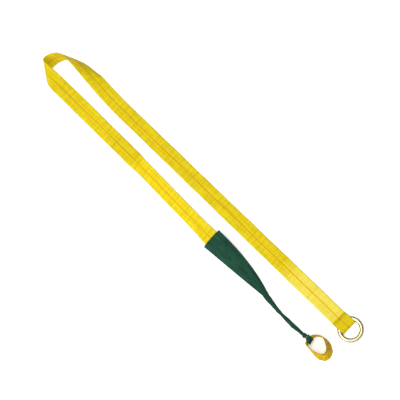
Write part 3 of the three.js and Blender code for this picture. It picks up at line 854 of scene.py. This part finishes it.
def hand_loop_rings(outside, first=0.0, last=1.0):
    """Rings of the band between two shares of its length, moved outside by so much."""
    line, run, out = hand_loop_line()
    share = run[:-1] / run[-1]
    keep = (share >= first) & (share <= last)
    line, out, share = line[keep], out[keep], share[keep]
    length = share * run[-1]
    from_knot = np.minimum(length, run[-1] - length)
    open_ = ease(9, 36, from_knot)
    half_height = mix(4.6, WEB_WIDTH / 2, open_)
    half_thick = mix(3.9, WEB_THICK / 2, ease(8, 24, from_knot))
    middle = line + np.array([0, 0, 1]) * mix(KNOT_Z, WEB_WIDTH / 2 + HAND_LOOP_FOOT, open_)[:, None]
    lean = HAND_LOOP_LEAN * ease(30, 75, from_knot) / (WEB_WIDTH / 2)
    section = web_section(WEB_WIDTH / 2, WEB_THICK / 2)
    across, thick = section[:, 0] / (WEB_WIDTH / 2), section[:, 1] / (WEB_THICK / 2)
    # Gathered at the knot, the band lies in pleats; open, it is a plain ribbed web.
    pleat = 1.5 * np.sin(11 * across[None] + 0.8) + 0.7 * np.sin(23 * across[None])
    pleat = pleat * ((1 - open_) * ease(7, 14, from_knot))[:, None]
    rib = RIB_HEIGHT * np.cos(2 * math.pi * length / RIB_PITCH)[:, None] * np.sign(thick)[None]
    rib = rib * (np.abs(across)[None] < 0.95)
    belly = HAND_LOOP_BELLY * (np.sin(length / 19) * open_)[:, None] * (1 - np.square(across))[None]
    v = across[None] * half_height[:, None]
    u = outside + thick[None] * half_thick[:, None] + pleat + rib + belly - v * lean[:, None]
    rings = middle[:, None] + out[:, None] * u[..., None] + np.array([0, 0, 1]) * v[..., None]
    around = np.append(across, across[0]) * WEB_WIDTH / 2
    return rings, length, around, run[-1]


def make_hand_loop(material):
    rings, length, around, whole = hand_loop_rings(0)
    along = np.append(length, whole)
    uv = np.stack([np.tile(around, (len(along), 1)), np.tile(along[:, None], (1, len(around)))], -1)
    band = loft("hand_loop_band", rings, material, uv, joined=True)
    rings, length, around, _ = hand_loop_rings(LAP_OUT, LAP_START, LAP_END)
    uv = np.stack([np.tile(around, (len(length), 1)), np.tile(length[:, None], (1, len(around)))], -1)
    return band, loft("hand_loop_overlap", rings, material, uv)


def lap_row(share):
    """Needle holes up the overlapped ends of the band."""
    line, run, out = hand_loop_line()
    i = int(np.argmin(np.abs(run[:-1] / run[-1] - share)))
    lean = HAND_LOOP_LEAN / (WEB_WIDTH / 2)
    belly = HAND_LOOP_BELLY * math.sin(run[i] / 19)
    heights = np.linspace(-21, 21, 13)
    holes = [
        line[i] + out[i] * (LAP_OUT + WEB_THICK / 2 + belly * (1 - (v / 25) ** 2) - v * lean)
        + np.array([0, 0, WEB_WIDTH / 2 + HAND_LOOP_FOOT + v]) for v in heights
    ]
    return between(holes, [out[i]] * len(holes), 0.72)


# ---- ring ----
def make_ring(material):
    """A ring of round wire, butt-welded, with the weld dressed to a low bead."""
    radius = (RING_INSIDE + RING_WIRE) / 2
    near_z = WEB_THICK + 3 * PLY_GAP + RING_WIRE / 2
    far_z = RING_WIRE / 2
    tilt = math.asin((near_z - far_z) / (2 * radius))
    turns = np.arange(180) * 2 * math.pi / 180
    wire = np.arange(32) * 2 * math.pi / 32
    weld = 0.35 * bump((turns - math.radians(118)) / 0.035) * (1 + 0.25 * np.sin(9 * turns))
    dent = 0.03 * np.sin(5 * turns) + 0.02 * np.sin(11 * turns + 1)
    r = RING_WIRE / 2 + weld + dent
    out = radius + r[:, None] * np.cos(wire)
    x, y = np.cos(turns)[:, None] * out, np.sin(turns)[:, None] * out
    z = r[:, None] * np.sin(wire)
    across_tilt = y * math.cos(tilt) - z * math.sin(tilt)
    up_tilt = y * math.sin(tilt) + z * math.cos(tilt)
    rings = np.stack([x, across_tilt, up_tilt], -1) + (0, RING_CENTRE_Y, (near_z + far_z) / 2)
    u = np.arange(33) * RING_WIRE * math.pi / 32
    v = np.arange(181) * radius * 2 * math.pi / 180
    uv = np.stack(np.meshgrid(u, v), -1)
    return loft("round_ring", rings, material, uv, joined=True)


green = cloth_material("green_cloth", GREEN, GREEN_LOW)
leader, leader_path = make_leader(green)
wraps, crossing = make_knot(green)
collar = make_collar(green)
for part in (wraps, crossing, collar):
    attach(part, "leader_lower")
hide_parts("knot")
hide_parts("knot_collar")
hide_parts("leader_upper", "leader_lower")
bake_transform(leader)

strap_yellow = webbing_material(
    "strap_webbing", YELLOW, YELLOW_LOW, TRACER,
    pale_zone=(run_at_y(252), run_at_y(46) + 4, PALE_YELLOW),
    eye_zone=(run_at_y(46) + 3, run_at_y(46) + 46, EYE_YELLOW),
)
sleeve_leg = webbing("strap_sleeve_leg", 0, BEND_CUT, strap_yellow, start_nose=True)
ring_leg = webbing("strap_ring_leg", BEND_CUT, SPLICE_CUT, strap_yellow)
eye = webbing("strap_eye", SPLICE_CUT, len(STRAP) - 1, strap_yellow, end_nose=True)
for strap, nodes in (
    (sleeve_leg, ["short_leg_webbing"]),
    (ring_leg, ["bend_webbing", "long_leg_webbing", "splice_upper_ply"]),
    (eye, ["eye_webbing", "splice_tail_ply"]),
):
    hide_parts(*nodes)
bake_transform(sleeve_leg)
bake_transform(ring_leg)
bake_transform(eye)

ring = make_ring(plated_material("plated_ring"))
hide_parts("ring")
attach(ring, "ring")

sleeve = make_sleeve(green)
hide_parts("sleeve")
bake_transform(sleeve)
dark_thread = thread_material("sleeve_thread", linear(16, 44, 34))
seam_ys = np.linspace(MOUTH_Y - 3, MOUTH_Y - SLEEVE_LENGTH + 62, 48)
seam_holes, seam_outs = zip(*(seam_hole(y) for y in seam_ys))
seam = stitches("sleeve_seam_stitches", between(seam_holes, seam_outs, 0.7), dark_thread)
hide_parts("sleeve_seam_row")
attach(seam, "short_leg")

cream = thread_material("cream_thread", CREAM)


def cross_row(y):
    """Two straight lines of stitches across the splice, 3 mm apart."""
    return [s for v in (y, y + 3) for s in straight_row((-21, v), (21, v), 2.6, 0)]


def side_row(*places):
    """Zigzag lines of stitches along the splice, each at its place across the webbing."""
    return [s for x in places for s in straight_row((x, 57), (x, 245), 3.4, 1.2)]


for name, node, threads in (
    ("stitch_row_near_eye", "splice_row_near_eye", cross_row(50)),
    ("stitch_row_middle", "splice_row_middle", cross_row(111)),
    ("stitch_row_end", "splice_row_end", cross_row(248)),
    ("stitch_row_left", "splice_side_row_left", side_row(-20, -12.5)),
    ("stitch_row_right", "splice_side_row_right", side_row(20, 12.5)),
):
    row = stitches(name, threads, cream)
    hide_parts(node)
    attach(row, "splice")

# Painted shade: the hand loop gets a darker copy of the strap's webbing material.
hand_shaded_yellow = webbing_material(
    "hand_loop_webbing_painted_shade", HAND_YELLOW_PAINTED_SHADE, HAND_YELLOW_LOW_PAINTED_SHADE, TRACER, gloss=0.01,
)
band, lap = make_hand_loop(hand_shaded_yellow)
for part, node in ((band, "hand_loop_webbing"), (lap, "hand_loop_lap")):
    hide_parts(node)
    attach(part, "hand_loop")
for name, node, share in (
    ("hand_loop_stitches_left", "hand_loop_row_left", LAP_END - 0.02),
    ("hand_loop_stitches_right", "hand_loop_row_right", LAP_START + 0.02),
):
    row = stitches(name, lap_row(share), cream)
    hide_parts(node)
    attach(row, "hand_loop")


# ---- floor and light ----
def make_floor():
    n = Nodes("pale_floor")
    grain = n.noise(n.tree.nodes.new("ShaderNodeTexCoord").outputs["Object"], 3.0, 4.0)
    n.put(n.shader.inputs["Base Color"], n.blend(grain, (0.97, 0.97, 0.97), (0.99, 0.99, 0.99)))
    n.shader.inputs["Roughness"].default_value = 0.9
    n.shader.inputs["Specular IOR Level"].default_value = 0.1
    # The floor is a light table, which keeps its shadows faint.
    n.shader.inputs["Emission Color"].default_value = (1, 1, 1, 1)
    n.shader.inputs["Emission Strength"].default_value = 0.3
    mesh = bpy.data.meshes.new("floor")
    size = 30.0
    corners = [(-size, -size, 0), (size, -size, 0), (size, size, 0), (-size, size, 0)]
    mesh.from_pydata(corners, [], [[0, 1, 2, 3]])
    mesh.materials.append(n.material)
    floor = bpy.data.objects.new("floor", mesh)
    bpy.context.scene.collection.objects.link(floor)


def make_world():
    """A white studio dome, with a dark low band behind the strop that gives the ring its dark edges."""
    world = bpy.data.worlds.new("studio")
    bpy.context.scene.world = world
    world.use_nodes = True
    tree = world.node_tree
    link = tree.links.new
    coords = tree.nodes.new("ShaderNodeTexCoord")
    split = tree.nodes.new("ShaderNodeSeparateXYZ")
    link(coords.outputs["Generated"], split.inputs[0])
    rise = tree.nodes.new("ShaderNodeMapRange")
    rise.interpolation_type = "SMOOTHSTEP"
    link(split.outputs[2], rise.inputs[0])
    for i, value in enumerate((0.5, 0.95, 0.0, 1.0), 1):
        rise.inputs[i].default_value = value
    back = tree.nodes.new("ShaderNodeTexCoord")
    dot = tree.nodes.new("ShaderNodeVectorMath")
    dot.operation = "DOT_PRODUCT"
    link(back.outputs["Generated"], dot.inputs[0])
    dot.inputs[1].default_value = Vector((0.8, 0.6, 0)).normalized()
    facing = tree.nodes.new("ShaderNodeMapRange")
    facing.interpolation_type = "SMOOTHSTEP"
    link(dot.outputs["Value"], facing.inputs[0])
    for i, value in enumerate((-0.75, 0.35, 1.0, 0.0), 1):
        facing.inputs[i].default_value = value
    light = tree.nodes.new("ShaderNodeMath")
    light.operation = "MAXIMUM"
    link(rise.outputs[0], light.inputs[0])
    link(facing.outputs[0], light.inputs[1])
    background = tree.nodes["Background"]
    strength = tree.nodes.new("ShaderNodeMath")
    strength.operation = "MULTIPLY"
    link(light.outputs[0], strength.inputs[0])
    strength.inputs[1].default_value = 0.78
    link(strength.outputs[0], background.inputs["Strength"])
    background.inputs["Color"].default_value = (1, 1, 1, 1)


def area_light(name, where, towards, size, power):
    data = bpy.data.lights.new(name, "AREA")
    data.size = size
    data.energy = power
    lamp = bpy.data.objects.new(name, data)
    lamp.location = where
    lamp.rotation_euler = (Vector(towards) - Vector(where)).to_track_quat("-Z", "Y").to_euler()
    bpy.context.scene.collection.objects.link(lamp)


make_floor()
make_world()
area_light("key", (-2.0, -0.9, 2.4), (0, 0.1, 0), 1.8, 50)
area_light("top", (-0.3, 0.4, 3.2), (0, 0.1, 0), 2.2, 58)
bpy.context.scene.view_settings.view_transform = "Standard"

bpy.context.view_layer.update()
